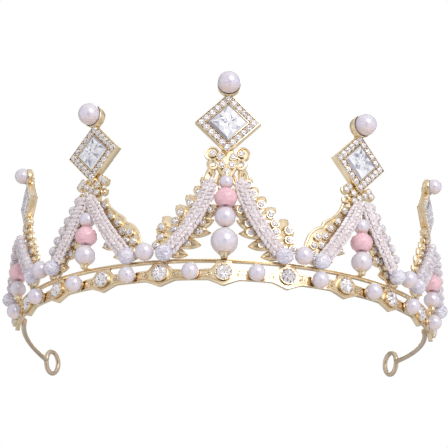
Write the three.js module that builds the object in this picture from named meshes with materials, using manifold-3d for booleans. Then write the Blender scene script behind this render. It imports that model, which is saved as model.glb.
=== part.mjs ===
// A five-spike bridal crown in millimetres, +Z up, with the front of the crown towards -Y.
// An open cast band carries lozenges and pearls. On its rail stand five openwork spikes, each with
// two leaf wings, a square crystal in a bezel, a pearl finial, two bead strands and a stack of beads
// threaded on an upright wire. A wire arm with a round loop continues each end of the band.
import * as THREE from "three";
import { mergeVertices } from "three/addons/utils/BufferGeometryUtils.js";
import Module from "manifold-3d";

const wasm = await Module();
wasm.setup();

// Driving dimensions. Heights are measured from the centre line of the band's round crystals.
const RING_RADIUS = 83; // middle surface of the band
const GAP = 0.3; // air left between neighbouring pieces
const WALL = 0.8; // half of the casting's radial thickness

const LOZENGE_PITCH = 22.4; // along the band
const LOZENGE_COUNT = 11;
const RAIL_LOW = 3.75;
const RAIL_HIGH = 5.05;
const STRIP_LOW = -2.6;
const STRIP_HIGH = 1.2;
const STRIP_FRONT = 0.2;
const BAND_HALF_LENGTH = 118.5; // arc from the front to the end tabs
const BAND_STEPS = 44; // straight steps along the rail and the strip
const LOZENGE_FRONT = 1;
const BAND_PEARL_RADIUS = 3;
const BAND_PEARL_OUT = 3.2;
const BAND_PEARL_HEIGHT = -0.3;

const PLATE_BACK = -0.8; // square bezel plate, out from the middle surface
const PLATE_FRONT = 2.2;
const POCKET_FLOOR = 0.4; // under the square crystal
const POST_HALF = 1.5; // the post that joins the plate to the finial's socket
const POST_FRONT = 0.8;
const SOCKET_BACK = 0.6;
const SOCKET_DEPTH = 0.75; // share of the finial pearl's radius
const FRAME_HALF = 0.6; // half of the thickness of the leaf wings
const FRAME_FOOT = RAIL_HIGH + GAP;
const WIRE_RADIUS = 0.3;
const HOLE_RADIUS = 0.6;
const STACK_OUT = 2.4; // the stack wire, out from the middle surface

const PINK_RADIUS = 4.1;
const PINK_HALF_HEIGHT = 3.1;
const CUP_FLOOR = 0.4;
const STRAND_OUT = 4;
const STRAND_BEADS = 6;
const STRAND_RADIUS = 2.3;
const VALLEY_OUT = 4.3;
const VALLEY_PEARL_RADIUS = 3.3;
const FACET_RADIUS = 2.9;
const NEIGHBOUR_STEP = 6.7; // from a valley pearl to the faceted bead on either side of it
const FACET_DROP = 0.9; // and how much lower that bead sits

// The arms are soft wire bent by hand, so each has its own ring radius and loop height.
const ARM_WIRE_RADIUS = 0.85;
const ARM_START = 111; // arc inside the end of the band
const ARM_LEAVES = 119; // arc where the arm leaves the band's own curve
const ARM_HEIGHT = -0.6;
const LOOP_RADIUS = 4.7; // centre line of the wire loop
const LOOP_ARC = 167.4;
const LOOP_TURN = 334; // degrees of the loop that the wire fills
const ARMS = [
  { name: "left", side: -1, radius: 82.4, height: -3.6 },
  { name: "right", side: 1, radius: 79.6, height: -0.4 },
];

const VALLEYS = [
  { name: "front", arc: 27, height: 7.2 },
  { name: "side", arc: 74.4, height: 8.8 },
];
const END_BEAD = { arc: 116.3, height: 8.8 };

// A spike's own dimensions: heights up from the crystal line, widths along the band.
const FRONT = {
  plateHeight: 56.4,
  crystalSide: 10,
  finialHeight: 71,
  finialRadius: 4.1,
  bezelWidth: 3.4,
  apexHeight: 34.5,
  neckHalf: 7.6,
  wingReach: 26.4,
  strandTop: [5.8, 33],
  cupPearlRadius: 4.9,
  stack: [{ kind: "stack_pearl", radius: 3.75 }],
  topPearlRadius: 2.6,
  innerEdge: [
    [18.5, FRAME_FOOT],
    [12.8, 6.9],
    [15.9, 8.9],
    [8.3, 10.3],
    [11.6, 13],
    [4.9, 14.9],
    [6.9, 17.2],
    [4.3, 19.4],
    [5.4, 22],
    [3, 24.6],
    [5, 26.6],
    [5, 29.6],
    [3.2, 32],
    [3.2, 35.9],
  ],
};
const MIDDLE = {
  plateHeight: 49.3,
  crystalSide: 10,
  finialHeight: 63.8,
  finialRadius: 4.1,
  bezelWidth: 3.4,
  apexHeight: 31,
  neckHalf: 6.4,
  wingReach: 21.5,
  strandTop: [2.8, 31.5],
  cupPearlRadius: 3.85,
  stack: [],
  topPearlRadius: 2.9,
  innerEdge: [
    [16.5, FRAME_FOOT],
    [11, 8.3],
    [12.6, 11],
    [5.4, 12.6],
    [8, 15],
    [5, 17.6],
    [6.4, 20.2],
    [3.4, 21.4],
    [3.4, 26.8],
  ],
};
const SIDE = {
  plateHeight: 45.2,
  crystalSide: 7.6,
  finialHeight: 56.3,
  finialRadius: 3.1,
  bezelWidth: 2.9,
  apexHeight: 30,
  neckHalf: 5.6,
  wingReach: 16.6,
  strandTop: [2.7, 29.6],
  cupPearlRadius: 3.2,
  stack: [],
  topPearlRadius: 0,
  innerEdge: [
    [12.4, FRAME_FOOT],
    [9.4, 8],
    [10.6, 10.2],
    [5.2, 11.6],
    [7, 13.8],
    [5, 16.4],
    [5, 18.4],
    [3, 20],
  ],
};
// lift moves a spike's square plate and pearl up or down, as the hand-bent necks do.
const SPIKES = [
  { name: "front", place: 0, arc: 0, lift: 0, size: FRONT },
  { name: "middle_left", place: -1, arc: -52.2, lift: 0.9, size: MIDDLE },
  { name: "middle_right", place: 1, arc: 51, lift: -0.9, size: MIDDLE },
  { name: "side_left", place: -2, arc: -102, lift: 0, size: SIDE },
  { name: "side_right", place: 2, arc: 102, lift: 0, size: SIDE },
];

const GOLD = new THREE.MeshStandardMaterial({ color: 0xe3bd7c, roughness: 0.25, metalness: 1 });
const WIRE = new THREE.MeshStandardMaterial({ color: 0xc2a27c, roughness: 0.35, metalness: 1 });
const PEARL = new THREE.MeshStandardMaterial({ color: 0xf3ecf2, roughness: 0.2, metalness: 0 });
const PINK = new THREE.MeshStandardMaterial({ color: 0xf0bcc8, roughness: 0.25, metalness: 0 });
const BEAD = new THREE.MeshStandardMaterial({ color: 0xecd5da, roughness: 0.1, metalness: 0 });
const CRYSTAL = new THREE.MeshStandardMaterial({ color: 0xf4f4fa, roughness: 0.02, metalness: 0 });

const crown = new THREE.Group();

function addMesh(parent, name, geometry, material) {
  const mesh = new THREE.Mesh(geometry, material);
  mesh.name = name;
  parent.add(mesh);
  return mesh;
}

// Solid bodies for cutting and joining.
function toSolid(geometry) {
  const bare = geometry.index ? geometry.toNonIndexed() : geometry.clone();
  bare.deleteAttribute("normal");
  bare.deleteAttribute("uv");
  const merged = mergeVertices(bare, 1e-3);
  return new wasm.Manifold(
    new wasm.Mesh({
      numProp: 3,
      vertProperties: merged.attributes.position.array,
      triVerts: new Uint32Array(merged.index.array),
    }),
  );
}

function toGeometry(solid) {
  const mesh = solid.getMesh();
  const geometry = new THREE.BufferGeometry();
  geometry.setAttribute("position", new THREE.BufferAttribute(mesh.vertProperties, 3));
  geometry.setIndex(new THREE.BufferAttribute(mesh.triVerts, 1));
  geometry.computeVertexNormals();
  return geometry;
}

function join(geometries) {
  return geometries.map(toSolid).reduce((sum, next) => sum.add(next));
}

// Pieces are drawn with x along the band, y up and z outwards. wrap bends a piece round the ring,
// and stand only sets it upright, so that it stays flat against the ring's tangent.
function wrap(geometry) {
  const position = geometry.attributes.position;
  for (let i = 0; i < position.count; i++) {
    const angle = position.getX(i) / RING_RADIUS;
    const reach = RING_RADIUS + position.getZ(i);
    position.setXYZ(i, reach * Math.sin(angle), -reach * Math.cos(angle), position.getY(i));
  }
  return geometry;
}

function stand(geometry) {
  return geometry.rotateX(Math.PI / 2).translate(0, -RING_RADIUS, 0);
}

function bar(x0, x1, y0, y1, z0, z1, steps = 1) {
  const box = new THREE.BoxGeometry(x1 - x0, y1 - y0, z1 - z0, steps, 1, 1);
  return box.translate((x0 + x1) / 2, (y0 + y1) / 2, (z0 + z1) / 2);
}

function plate(points, z0, z1) {
  const shape = new THREE.Shape(points.map(([x, y]) => new THREE.Vector2(x, y)));
  const solid = new THREE.ExtrudeGeometry(shape, { depth: z1 - z0, bevelEnabled: false });
  return solid.translate(0, 0, z0);
}

const bothSides = (points) => [...points, ...points.map(([x, y]) => [-x, y]).reverse()];

function ball(radius, x, y, z, round = 10, rows = 6) {
  return new THREE.SphereGeometry(radius, round, rows).translate(x, y, z);
}

// ---- band ----
// A lozenge reaches up to the rail and dips to a point below the band.
const LOZENGE_SIDE = [
  [0, -4.8],
  [1.6, -4.3],
  [3.6, STRIP_LOW],
  [8.4, STRIP_LOW],
  [8.4, STRIP_HIGH],
  [4.6, 1.6],
  [3, RAIL_HIGH],
];

const pearlArcs = [];
for (let i = 0; i < LOZENGE_COUNT - 1; i++) {
  pearlArcs.push((i - (LOZENGE_COUNT - 2) / 2) * LOZENGE_PITCH);
}

function makeBand() {
  const end = BAND_HALF_LENGTH;
  const outline = bothSides(LOZENGE_SIDE.slice(1)).concat([[0, LOZENGE_SIDE[0][1]]]);
  const pieces = [
    wrap(bar(-end, end, RAIL_LOW, RAIL_HIGH, -WALL, WALL, BAND_STEPS)),
    wrap(bar(-end, end, STRIP_LOW, STRIP_HIGH, -WALL, STRIP_FRONT, BAND_STEPS)),
  ];
  for (const side of [-1, 1]) {
    const tab = side * (end - 1);
    pieces.push(wrap(bar(tab - 1, tab + 1, STRIP_LOW, RAIL_HIGH, -WALL, STRIP_FRONT)));
  }
  for (let i = 0; i < LOZENGE_COUNT; i++) {
    const arc = (i - (LOZENGE_COUNT - 1) / 2) * LOZENGE_PITCH;
    pieces.push(wrap(plate(outline, 0, LOZENGE_FRONT).translate(arc, 0, 0)));
  }
  let band = join(pieces);
  for (const arc of pearlArcs) {
    const room = ball(BAND_PEARL_RADIUS + GAP, 0, 0, 0);
    const angle = arc / RING_RADIUS;
    const reach = RING_RADIUS + BAND_PEARL_OUT;
    room.translate(reach * Math.sin(angle), -reach * Math.cos(angle), BAND_PEARL_HEIGHT);
    band = band.subtract(toSolid(room));
  }
  addMesh(crown, "base_band", toGeometry(band), GOLD);
}

function place(geometry, arc, out, height) {
  const angle = arc / RING_RADIUS;
  const reach = RING_RADIUS + out;
  return geometry.translate(reach * Math.sin(angle), -reach * Math.cos(angle), height);
}

function makeBandPearls() {
  pearlArcs.forEach((arc, i) => {
    const pearl = new THREE.SphereGeometry(BAND_PEARL_RADIUS, 10, 6);
    const name = "band_pearl_" + (i + 1);
    addMesh(crown, name, place(pearl, arc, BAND_PEARL_OUT, BAND_PEARL_HEIGHT), PEARL);
  });
}

function makeValleyPearls() {
  for (const valley of VALLEYS) {
    for (const [label, side] of [["left", -1], ["right", 1]]) {
      const pearl = new THREE.SphereGeometry(VALLEY_PEARL_RADIUS, 10, 6);
      place(pearl, side * valley.arc, VALLEY_OUT, valley.height);
      addMesh(crown, "valley_pearl_" + valley.name + "_" + label, pearl, PEARL);
    }
  }
}

// ---- spikes ----
// The outer edge of a leaf wing falls from the neck to the foot in a row of round lobes, and its
// inner edge is a row of leaf tips around the beads.
const OUTER_START = 8.4;
const OUTER_LOBES = 5;
const LOBE_BULGE = 2.2;
const LOBE_STEPS = 3;
const FOOT_HEIGHT = 8.5;

function outerEdge(size) {
  const reach = size.wingReach;
  const top = size.apexHeight - 1;
  const width = reach - OUTER_START;
  const fall = FOOT_HEIGHT - top;
  const length = Math.hypot(width, fall);
  const points = [];
  for (let i = 0; i < OUTER_LOBES * LOBE_STEPS; i++) {
    const along = i / (OUTER_LOBES * LOBE_STEPS);
    const bulge = LOBE_BULGE * Math.sin((Math.PI * (i % LOBE_STEPS)) / LOBE_STEPS);
    points.push([
      OUTER_START + width * along - (fall / length) * bulge,
      top + fall * along + (width / length) * bulge,
    ]);
  }
  points.push([reach, FOOT_HEIGHT]);
  points.push([reach - 1.2, FRAME_FOOT]);
  return points;
}

// Half a neck: from the wings up to the bottom corner of the square plate, with its side lobes.
function neckOutline(size) {
  const half = size.neckHalf;
  const low = size.apexHeight;
  const cornerHalf = (size.crystalSide / 2 + size.bezelWidth) * Math.SQRT2;
  const top = size.plateHeight - cornerHalf + 3.5;
  const rise = top - low;
  return [
    [half, low + 0.12 * rise],
    [half - 0.9, low + 0.4 * rise],
    [half, low + 0.62 * rise],
    [half - 0.3, low + 0.86 * rise],
    [half - 2.6, low + 0.95 * rise],
    [2.4, top],
  ];
}

// One half of the leafwork's outline, from the top of the neck round the wing to the top of the
// opening that the beads hang in.
function halfOutline(size) {
  return [...neckOutline(size).reverse(), ...outerEdge(size), ...size.innerEdge];
}

function makeFrame(size) {
  const outline = bothSides(halfOutline(size));
  const leafwork = wrap(plate(outline, -FRAME_HALF, FRAME_HALF));

  const cornerHalf = (size.crystalSide / 2 + size.bezelWidth) * Math.SQRT2;
  const side = size.crystalSide + 2 * size.bezelWidth;
  const bezel = bar(-side / 2, side / 2, -side / 2, side / 2, PLATE_BACK, PLATE_FRONT);
  stand(bezel.rotateZ(Math.PI / 4).translate(0, size.plateHeight, 0));

  const cupRadius = size.finialRadius - 0.2;
  const cupDepth = size.finialRadius * SOCKET_DEPTH;
  const postLow = size.plateHeight + cornerHalf - 2.5;
  const post = bar(-POST_HALF, POST_HALF, postLow, size.finialHeight, PLATE_BACK, POST_FRONT);
  const socket = new THREE.CylinderGeometry(cupRadius, cupRadius - 0.4, cupDepth, 14);
  socket.rotateX(Math.PI / 2).translate(0, size.finialHeight, SOCKET_BACK + cupDepth / 2);

  const cupHeight = CUP_FLOOR + 1.2;
  const cup = new THREE.CylinderGeometry(size.cupPearlRadius * 0.55, 1.7, cupHeight, 12);
  cup.translate(0, FRAME_FOOT + cupHeight / 2, STACK_OUT);

  const wireTop = size.innerEdge.at(-1)[1] + 1;
  const wireLow = FRAME_FOOT + CUP_FLOOR / 2;
  const wire = new THREE.CylinderGeometry(WIRE_RADIUS, WIRE_RADIUS, wireTop - wireLow, 8);
  wire.translate(0, (wireTop + wireLow) / 2, STACK_OUT);
  const hook = bar(-WIRE_RADIUS, WIRE_RADIUS, wireTop - 0.6, wireTop, 0, STACK_OUT + WIRE_RADIUS);

  let frame = join([leafwork, bezel, stand(post), stand(socket), stand(cup)]);
  const pocketSide = size.crystalSide + 2 * GAP;
  const pocketHalf = pocketSide / 2;
  const pocket = bar(-pocketHalf, pocketHalf, -pocketHalf, pocketHalf, POCKET_FLOOR, 2 * PLATE_FRONT);
  stand(pocket.rotateZ(Math.PI / 4).translate(0, size.plateHeight, 0));
  const finialRoom = ball(size.finialRadius + GAP, 0, size.finialHeight, finialOut(size));
  const cupPearlHeight = cupPearlCentre(size);
  const cupRoom = ball(size.cupPearlRadius + GAP, 0, cupPearlHeight, STACK_OUT);
  frame = frame.subtract(toSolid(pocket)).subtract(toSolid(stand(finialRoom)));
  frame = frame.subtract(toSolid(stand(cupRoom)));
  return frame.add(join([stand(wire), stand(hook)]));
}

function finialOut(size) {
  return SOCKET_BACK + 0.5 + GAP + size.finialRadius;
}

function cupPearlCentre(size) {
  return FRAME_FOOT + CUP_FLOOR + GAP + size.cupPearlRadius;
}

// A bead drilled along its upright axis: a closed profile turned round the wire.
function drilledBead(profile, height) {
  const points = profile.map(([r, y]) => new THREE.Vector2(r, y));
  points.push(points[0].clone());
  return new THREE.LatheGeometry(points, 10).translate(0, height, STACK_OUT);
}

function pearlProfile(radius) {
  const points = [];
  const start = Math.asin(HOLE_RADIUS / radius);
  for (let i = 0; i <= 5; i++) {
    const angle = start + ((Math.PI - 2 * start) * i) / 5;
    points.push([radius * Math.sin(angle), -radius * Math.cos(angle)]);
  }
  return points;
}

const PINK_PROFILE = [
  [HOLE_RADIUS, -PINK_HALF_HEIGHT],
  [2.2, -PINK_HALF_HEIGHT],
  [3.6, -1.5],
  [PINK_RADIUS, 0],
  [3.6, 1.5],
  [2.2, PINK_HALF_HEIGHT],
  [HOLE_RADIUS, PINK_HALF_HEIGHT],
];

function squareCrystal(size) {
  const girdle = (size.crystalSide / 2) * Math.SQRT2;
  const profile = [
    [0, 0.7],
    [girdle * 0.72, 0.7],
    [girdle, 1.9],
    [girdle, 2.3],
    [girdle * 0.7, 3.4],
    [0, 3.4],
  ];
  const points = profile.map(([r, y]) => new THREE.Vector2(r, y));
  const gem = new THREE.LatheGeometry(points, 4);
  return stand(gem.rotateX(Math.PI / 2).translate(0, size.plateHeight, 0));
}

// A strand lies over one wing, from beside the neck down to a faceted bead in the valley.
function strand(topX, topY, footX, footY) {
  const length = Math.hypot(footX - topX, footY - topY);
  const pitch = (length - FACET_RADIUS) / STRAND_BEADS;
  const points = [new THREE.Vector2(0, 0)];
  for (let i = 0; i < STRAND_BEADS; i++) {
    points.push(new THREE.Vector2(STRAND_RADIUS, (i + 0.5) * pitch));
    points.push(new THREE.Vector2(STRAND_RADIUS * 0.55, (i + 1) * pitch));
  }
  points.push(new THREE.Vector2(FACET_RADIUS, length - 1));
  points.push(new THREE.Vector2(FACET_RADIUS, length + 1));
  points.push(new THREE.Vector2(0, length + FACET_RADIUS));
  const chain = new THREE.LatheGeometry(points, 8);
  chain.rotateZ(Math.atan2(footY - topY, footX - topX) - Math.PI / 2);
  return wrap(chain.translate(topX, topY, STRAND_OUT));
}

// The foot of a strand, along the band from its spike, and its height.
function strandFoot(spike, side) {
  const outward = spike.place === 0 || Math.sign(spike.place) === side;
  if (Math.abs(spike.place) === 2 && outward) {
    return [side * END_BEAD.arc - spike.arc, END_BEAD.height];
  }
  const valley = VALLEYS[Math.abs(spike.place) - (outward ? 0 : 1)];
  const towards = outward ? -1 : 1;
  const reach = valley.arc + towards * NEIGHBOUR_STEP;
  const sign = spike.place === 0 ? side : Math.sign(spike.place);
  return [sign * reach - spike.arc, valley.height - FACET_DROP];
}

function makeSpike(spike) {
  const { name, arc, lift } = spike;
  const size = { ...spike.size };
  size.plateHeight += lift;
  size.finialHeight += lift;
  const group = new THREE.Group();
  group.rotation.z = arc / RING_RADIUS;
  crown.add(group);

  addMesh(group, "spike_frame_" + name, toGeometry(makeFrame(size)), GOLD);
  addMesh(group, "square_crystal_" + name, squareCrystal(size), CRYSTAL);
  const finial = ball(size.finialRadius, 0, size.finialHeight, finialOut(size));
  addMesh(group, "finial_pearl_" + name, stand(finial), PEARL);

  let height = cupPearlCentre(size);
  const cupPearl = drilledBead(pearlProfile(size.cupPearlRadius), height);
  addMesh(group, "cup_pearl_" + name, stand(cupPearl), PEARL);
  height += size.cupPearlRadius;
  for (const bead of size.stack) {
    height += GAP + bead.radius;
    const pearl = drilledBead(pearlProfile(bead.radius), height);
    addMesh(group, bead.kind + "_" + name, stand(pearl), PEARL);
    height += bead.radius;
  }
  height += GAP + PINK_HALF_HEIGHT;
  addMesh(group, "pink_bead_" + name, stand(drilledBead(PINK_PROFILE, height)), PINK);
  if (size.topPearlRadius) {
    height += PINK_HALF_HEIGHT + GAP + size.topPearlRadius;
    const top = drilledBead(pearlProfile(size.topPearlRadius), height);
    addMesh(group, "top_pearl_" + name, stand(top), PEARL);
  }

  for (const [label, side] of [["left", -1], ["right", 1]]) {
    const [footX, footY] = strandFoot(spike, side);
    const [topX, topY] = size.strandTop;
    const beads = strand(side * topX, topY, footX, footY);
    addMesh(group, "bead_strand_" + name + "_" + label, beads, BEAD);
  }
}

// ---- wire arms ----
function ringPoint(arc, radius, height) {
  const angle = arc / RING_RADIUS;
  return new THREE.Vector3(radius * Math.sin(angle), -radius * Math.cos(angle), height);
}

// The arm runs on inside the band's end, follows the ring, and closes in a loop in its own plane.
function makeArm(arm) {
  const inside = RING_RADIUS - WALL - 2 * GAP - ARM_WIRE_RADIUS;
  const points = [ringPoint(ARM_START, inside, ARM_HEIGHT), ringPoint(ARM_LEAVES, inside, ARM_HEIGHT)];
  const loopStart = LOOP_ARC - LOOP_RADIUS;
  for (const share of [0.4, 0.75]) {
    const arc = ARM_LEAVES + share * (loopStart - ARM_LEAVES);
    const radius = inside + share * (arm.radius - inside);
    points.push(ringPoint(arc, radius, ARM_HEIGHT + share * share * (arm.height - ARM_HEIGHT)));
  }
  const turns = 10;
  for (let i = 0; i <= turns; i++) {
    const angle = Math.PI - (i / turns) * ((LOOP_TURN * Math.PI) / 180);
    const arc = LOOP_ARC + LOOP_RADIUS * Math.cos(angle);
    points.push(ringPoint(arc, arm.radius, arm.height + LOOP_RADIUS * Math.sin(angle)));
  }
  for (const point of points) {
    point.x *= arm.side;
  }
  const path = new THREE.CatmullRomCurve3(points, false, "centripetal");
  const section = new THREE.Shape();
  section.absarc(0, 0, ARM_WIRE_RADIUS, 0, 2 * Math.PI, false);
  const wire = new THREE.ExtrudeGeometry(section, { steps: 40, curveSegments: 4, extrudePath: path });
  addMesh(crown, "wire_arm_" + arm.name, wire, WIRE);
}

makeBand();
makeBandPearls();
makeValleyPearls();
SPIKES.forEach(makeSpike);
ARMS.forEach(makeArm);

// The origin is the middle of the crown's bounding box, at its lowest point.
const bounds = new THREE.Box3().setFromObject(crown, true);
const middle = bounds.getCenter(new THREE.Vector3());
crown.position.set(-middle.x, -middle.y, -bounds.min.z);
const root = new THREE.Group();
root.add(crown);

export default root;
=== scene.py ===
"""Looks of the five-spike bridal crown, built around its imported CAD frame.

Pieces are drawn in millimetres with x along the band, y up from the line of the band's round
crystals and z outwards from the band's middle surface, then put into the row frame in metres.
"""

import math
import random

import bmesh
import bpy
from mathutils import Matrix, Vector


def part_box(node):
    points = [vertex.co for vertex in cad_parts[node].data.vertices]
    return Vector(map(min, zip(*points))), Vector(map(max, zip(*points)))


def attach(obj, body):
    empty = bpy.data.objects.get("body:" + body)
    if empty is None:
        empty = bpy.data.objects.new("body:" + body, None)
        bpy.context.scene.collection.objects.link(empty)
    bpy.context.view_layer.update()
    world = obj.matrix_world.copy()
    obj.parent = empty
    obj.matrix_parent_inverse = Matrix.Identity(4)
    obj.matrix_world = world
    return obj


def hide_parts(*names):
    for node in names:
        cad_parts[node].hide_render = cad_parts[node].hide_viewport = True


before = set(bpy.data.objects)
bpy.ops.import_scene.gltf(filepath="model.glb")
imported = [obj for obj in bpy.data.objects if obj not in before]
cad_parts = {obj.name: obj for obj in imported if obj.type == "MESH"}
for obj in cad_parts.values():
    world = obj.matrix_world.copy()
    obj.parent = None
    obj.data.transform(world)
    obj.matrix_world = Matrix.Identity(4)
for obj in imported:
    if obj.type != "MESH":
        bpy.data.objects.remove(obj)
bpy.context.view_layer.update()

MM = 0.001
RING_RADIUS = 83.0  # middle surface of the band
LOZENGE_PROUD = 1.0  # how far the lozenges stand out from the middle surface
LOZENGE_DROP = 4.8  # from the line of the crystals down to the lozenges' points
band_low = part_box("base_band")[0]
RING_Y = band_low.y / MM + RING_RADIUS + LOZENGE_PROUD
LINE_Z = band_low.z / MM + LOZENGE_DROP
LOZENGE_PITCH = 22.4
LOZENGES = 11
BAND_END = 118.5
draw = random.Random(11)


# --- geometry helpers
def bent(arc=0.0):
    """Placement that bends a piece round the ring, with its x = 0 at that arc."""

    def put(x, y, z):
        angle = (x + arc) / RING_RADIUS
        reach = RING_RADIUS + z
        return (reach * math.sin(angle) * MM, (RING_Y - reach * math.cos(angle)) * MM, (LINE_Z + y) * MM)

    return put


def flat(arc=0.0):
    """Placement that stands a piece flat against the ring's tangent at that arc."""
    sine, cosine = math.sin(arc / RING_RADIUS), math.cos(arc / RING_RADIUS)

    def put(x, y, z):
        reach = RING_RADIUS + z
        across, depth = x * cosine + reach * sine, RING_Y + x * sine - reach * cosine
        return (across * MM, depth * MM, (LINE_Z + y) * MM)

    return put


def new_object(name, data):
    made = bpy.data.objects.new(name, data)
    bpy.context.scene.collection.objects.link(made)
    return made


class Shape:
    """Vertices and faces of one piece, collected in the row frame."""

    def __init__(self):
        self.points = []
        self.faces = []

    def add(self, part, put):
        points, faces = part
        first = len(self.points)
        self.points += [put(*p) for p in points]
        self.faces += [[first + i for i in face] for face in faces]

    def piece(self, name, material, body, slot, replaces=(), smooth=40):
        mesh = bpy.data.meshes.new(name)
        mesh.from_pydata(self.points, [], self.faces)
        mesh.validate()
        shells = bmesh.new()
        shells.from_mesh(mesh)
        bmesh.ops.recalc_face_normals(shells, faces=shells.faces)
        shells.to_mesh(mesh)
        shells.free()
        made = new_object(name, mesh)
        if smooth:
            mesh.shade_smooth()
            mesh.set_sharp_from_angle(angle=math.radians(smooth))
        mesh.materials.append(material)
        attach(made, body)
        if replaces:
            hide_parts(*replaces)
        return made


def moved(part, dx=0.0, dy=0.0, dz=0.0, turn=0.0):
    """The part turned about z by turn radians, then shifted."""
    sine, cosine = math.sin(turn), math.cos(turn)
    points = [(x * cosine - y * sine + dx, x * sine + y * cosine + dy, z + dz) for x, y, z in part[0]]
    return points, part[1]


def loft(sections, caps=True, closed=False):
    """A skin over equal closed loops of points."""
    count = len(sections[0])
    points = [p for s in sections for p in s]
    faces = []
    rows = len(sections)
    for r in range(rows if closed else rows - 1):
        a, b = r * count, ((r + 1) % rows) * count
        for i in range(count):
            j = (i + 1) % count
            faces.append([a + i, a + j, b + j, b + i])
    if caps and not closed:
        faces.append(list(range(count))[::-1])
        faces.append([(rows - 1) * count + i for i in range(count)])
    return points, faces


def lathe(profile, steps, axis="z"):
    """A profile of (radius, height) turned about an axis; a radius of 0 closes an end."""
    points, faces, rings = [], [], []
    for radius, height in profile:
        ring = []
        for i in range(1 if radius == 0 else steps):
            angle = 2 * math.pi * i / steps
            x, y = radius * math.cos(angle), radius * math.sin(angle)
            ring.append(len(points))
            points.append((x, y, height) if axis == "z" else (x, height, -y))
        rings.append(ring)
    for low, high in zip(rings, rings[1:]):
        for i in range(steps):
            j = (i + 1) % steps
            if len(low) == 1 and len(high) > 1:
                faces.append([low[0], high[j], high[i]][::-1])
            elif len(high) == 1 and len(low) > 1:
                faces.append([low[i], low[j], high[0]])
            elif len(low) > 1:
                faces.append([low[i], low[j], high[j], high[i]])
    return points, faces


def hollow(profile, steps, axis="z"):
    """A closed profile turned about an axis: a ring or a drilled bead."""
    return lathe(list(profile) + [profile[0]], steps, axis)


def ball(radius, steps, rows):
    """A round bead or grain."""
    profile = []
    for i in range(rows + 1):
        angle = math.pi * i / rows
        r = 0 if i in (0, rows) else radius * math.sin(angle)
        profile.append((r, -radius * math.cos(angle)))
    return lathe(profile, steps)


def tube(path, radius, steps=10, loop=False):
    """A round wire along points in x, y, z; radius may be one number or one for each point."""
    pts = [Vector(p) for p in path]
    radii = radius if isinstance(radius, (list, tuple)) else [radius] * len(pts)
    normal = None
    sections = []
    for i, p in enumerate(pts):
        before = pts[i - 1] if i else (pts[-1] if loop else p)
        after = pts[(i + 1) % len(pts)] if i < len(pts) - 1 or loop else p
        along = (after - before).normalized()
        if normal is None:
            normal = along.orthogonal().normalized()
        normal = (normal - along * normal.dot(along)).normalized()
        side = along.cross(normal)
        ring = []
        for k in range(steps):
            angle = 2 * math.pi * k / steps
            q = p + (normal * math.cos(angle) + side * math.sin(angle)) * radii[i]
            ring.append(tuple(q))
        sections.append(ring)
    return loft(sections, caps=not loop, closed=loop)


def smooth_path(points, steps):
    """Catmull-Rom through the points."""
    pts = [Vector(p) for p in points]
    pts = [pts[0] * 2 - pts[1]] + pts + [pts[-1] * 2 - pts[-2]]
    out = []
    for i in range(1, len(pts) - 2):
        a, b, c, d = pts[i - 1 : i + 3]
        for k in range(steps):
            t = k / steps
            even = 2 * b + (c - a) * t + (2 * a - 5 * b + 4 * c - d) * t * t
            out.append(tuple(0.5 * (even + (3 * b - a - 3 * c + d) * t**3)))
    out.append(tuple(pts[-2]))
    return out


def resampled(path, count):
    """Points at equal steps along a path."""
    pts = [Vector(p) for p in path]
    lengths = [0.0]
    for a, b in zip(pts, pts[1:]):
        lengths.append(lengths[-1] + (b - a).length)
    out, k = [], 0
    for i in range(count):
        goal = lengths[-1] * i / (count - 1)
        while k < len(pts) - 2 and lengths[k + 1] < goal:
            k += 1
        t = (goal - lengths[k]) / (lengths[k + 1] - lengths[k])
        out.append(tuple(pts[k].lerp(pts[k + 1], min(1.0, t))))
    return out


def circle(x, y, z, radius, count, turn=0.0):
    """Points at equal steps round a circle that faces outwards."""
    angles = [turn + 2 * math.pi * k / count for k in range(count)]
    return [(x + radius * math.cos(a), y + radius * math.sin(a), z) for a in angles]


LEAF_ROWS = 10
LEAF_VEIN = 0.3  # depth of the vein, as a share of the leaf's rise
LEAF_WIDEST = 0.4  # where the leaf is widest, as a share of its length


def leaf(root, tip, width, back, front, blunt=False):
    """A domed leaf with a sunken vein, round at its root and pointed or blunt at its tip."""
    rx, ry = root
    tx, ty = tip
    length = math.hypot(tx - rx, ty - ry)
    ux, uy = (tx - rx) / length, (ty - ry) / length
    sections = []
    for i in range(LEAF_ROWS + 1):
        s = i / LEAF_ROWS
        if s < LEAF_WIDEST:
            half = math.sqrt(max(0.0, 1 - ((LEAF_WIDEST - s) / LEAF_WIDEST) ** 2))
        else:
            t = (s - LEAF_WIDEST) / 0.6
            half = max(0.0, 1 - t**2) ** (0.5 if blunt else 0.85)
        half = max(half, 0.04)
        rise = (front - back) * (0.45 + 0.55 * half)
        half *= width / 2
        cx, cy = rx + ux * length * s, ry + uy * length * s
        ring = []
        for across, lift in (
            (-1, 0.0), (-1, 0.5), (-0.86, 0.72), (-0.45, 1.0), (0, 1.0 - LEAF_VEIN), (0.45, 1.0),
            (0.86, 0.72), (1, 0.5), (1, 0.0),
        ):
            ring.append((cx - uy * across * half, cy + ux * across * half, back + rise * lift))
        sections.append(ring[::-1])
    return loft(sections)


def facet_pair(a, b, i, j, leaning):
    """The two triangles between neighbours i and j of rings a and b, cut one way or the other."""
    if leaning:
        return [[a + i, b + j, b + i], [a + i, a + j, b + j]]
    return [[a + i, a + j, b + i], [a + j, b + j, b + i]]


def facets(rings, closed=False):
    """Rings of points joined by triangles that lean the other way in every second row."""
    count = len(rings[0])
    faces = []
    for row in range(len(rings) if closed else len(rings) - 1):
        for i in range(count):
            above = (row + 1) % len(rings) * count
            faces += facet_pair(row * count, above, i, (i + 1) % count, row % 2)
    return [p for ring in rings for p in ring], faces


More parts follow.
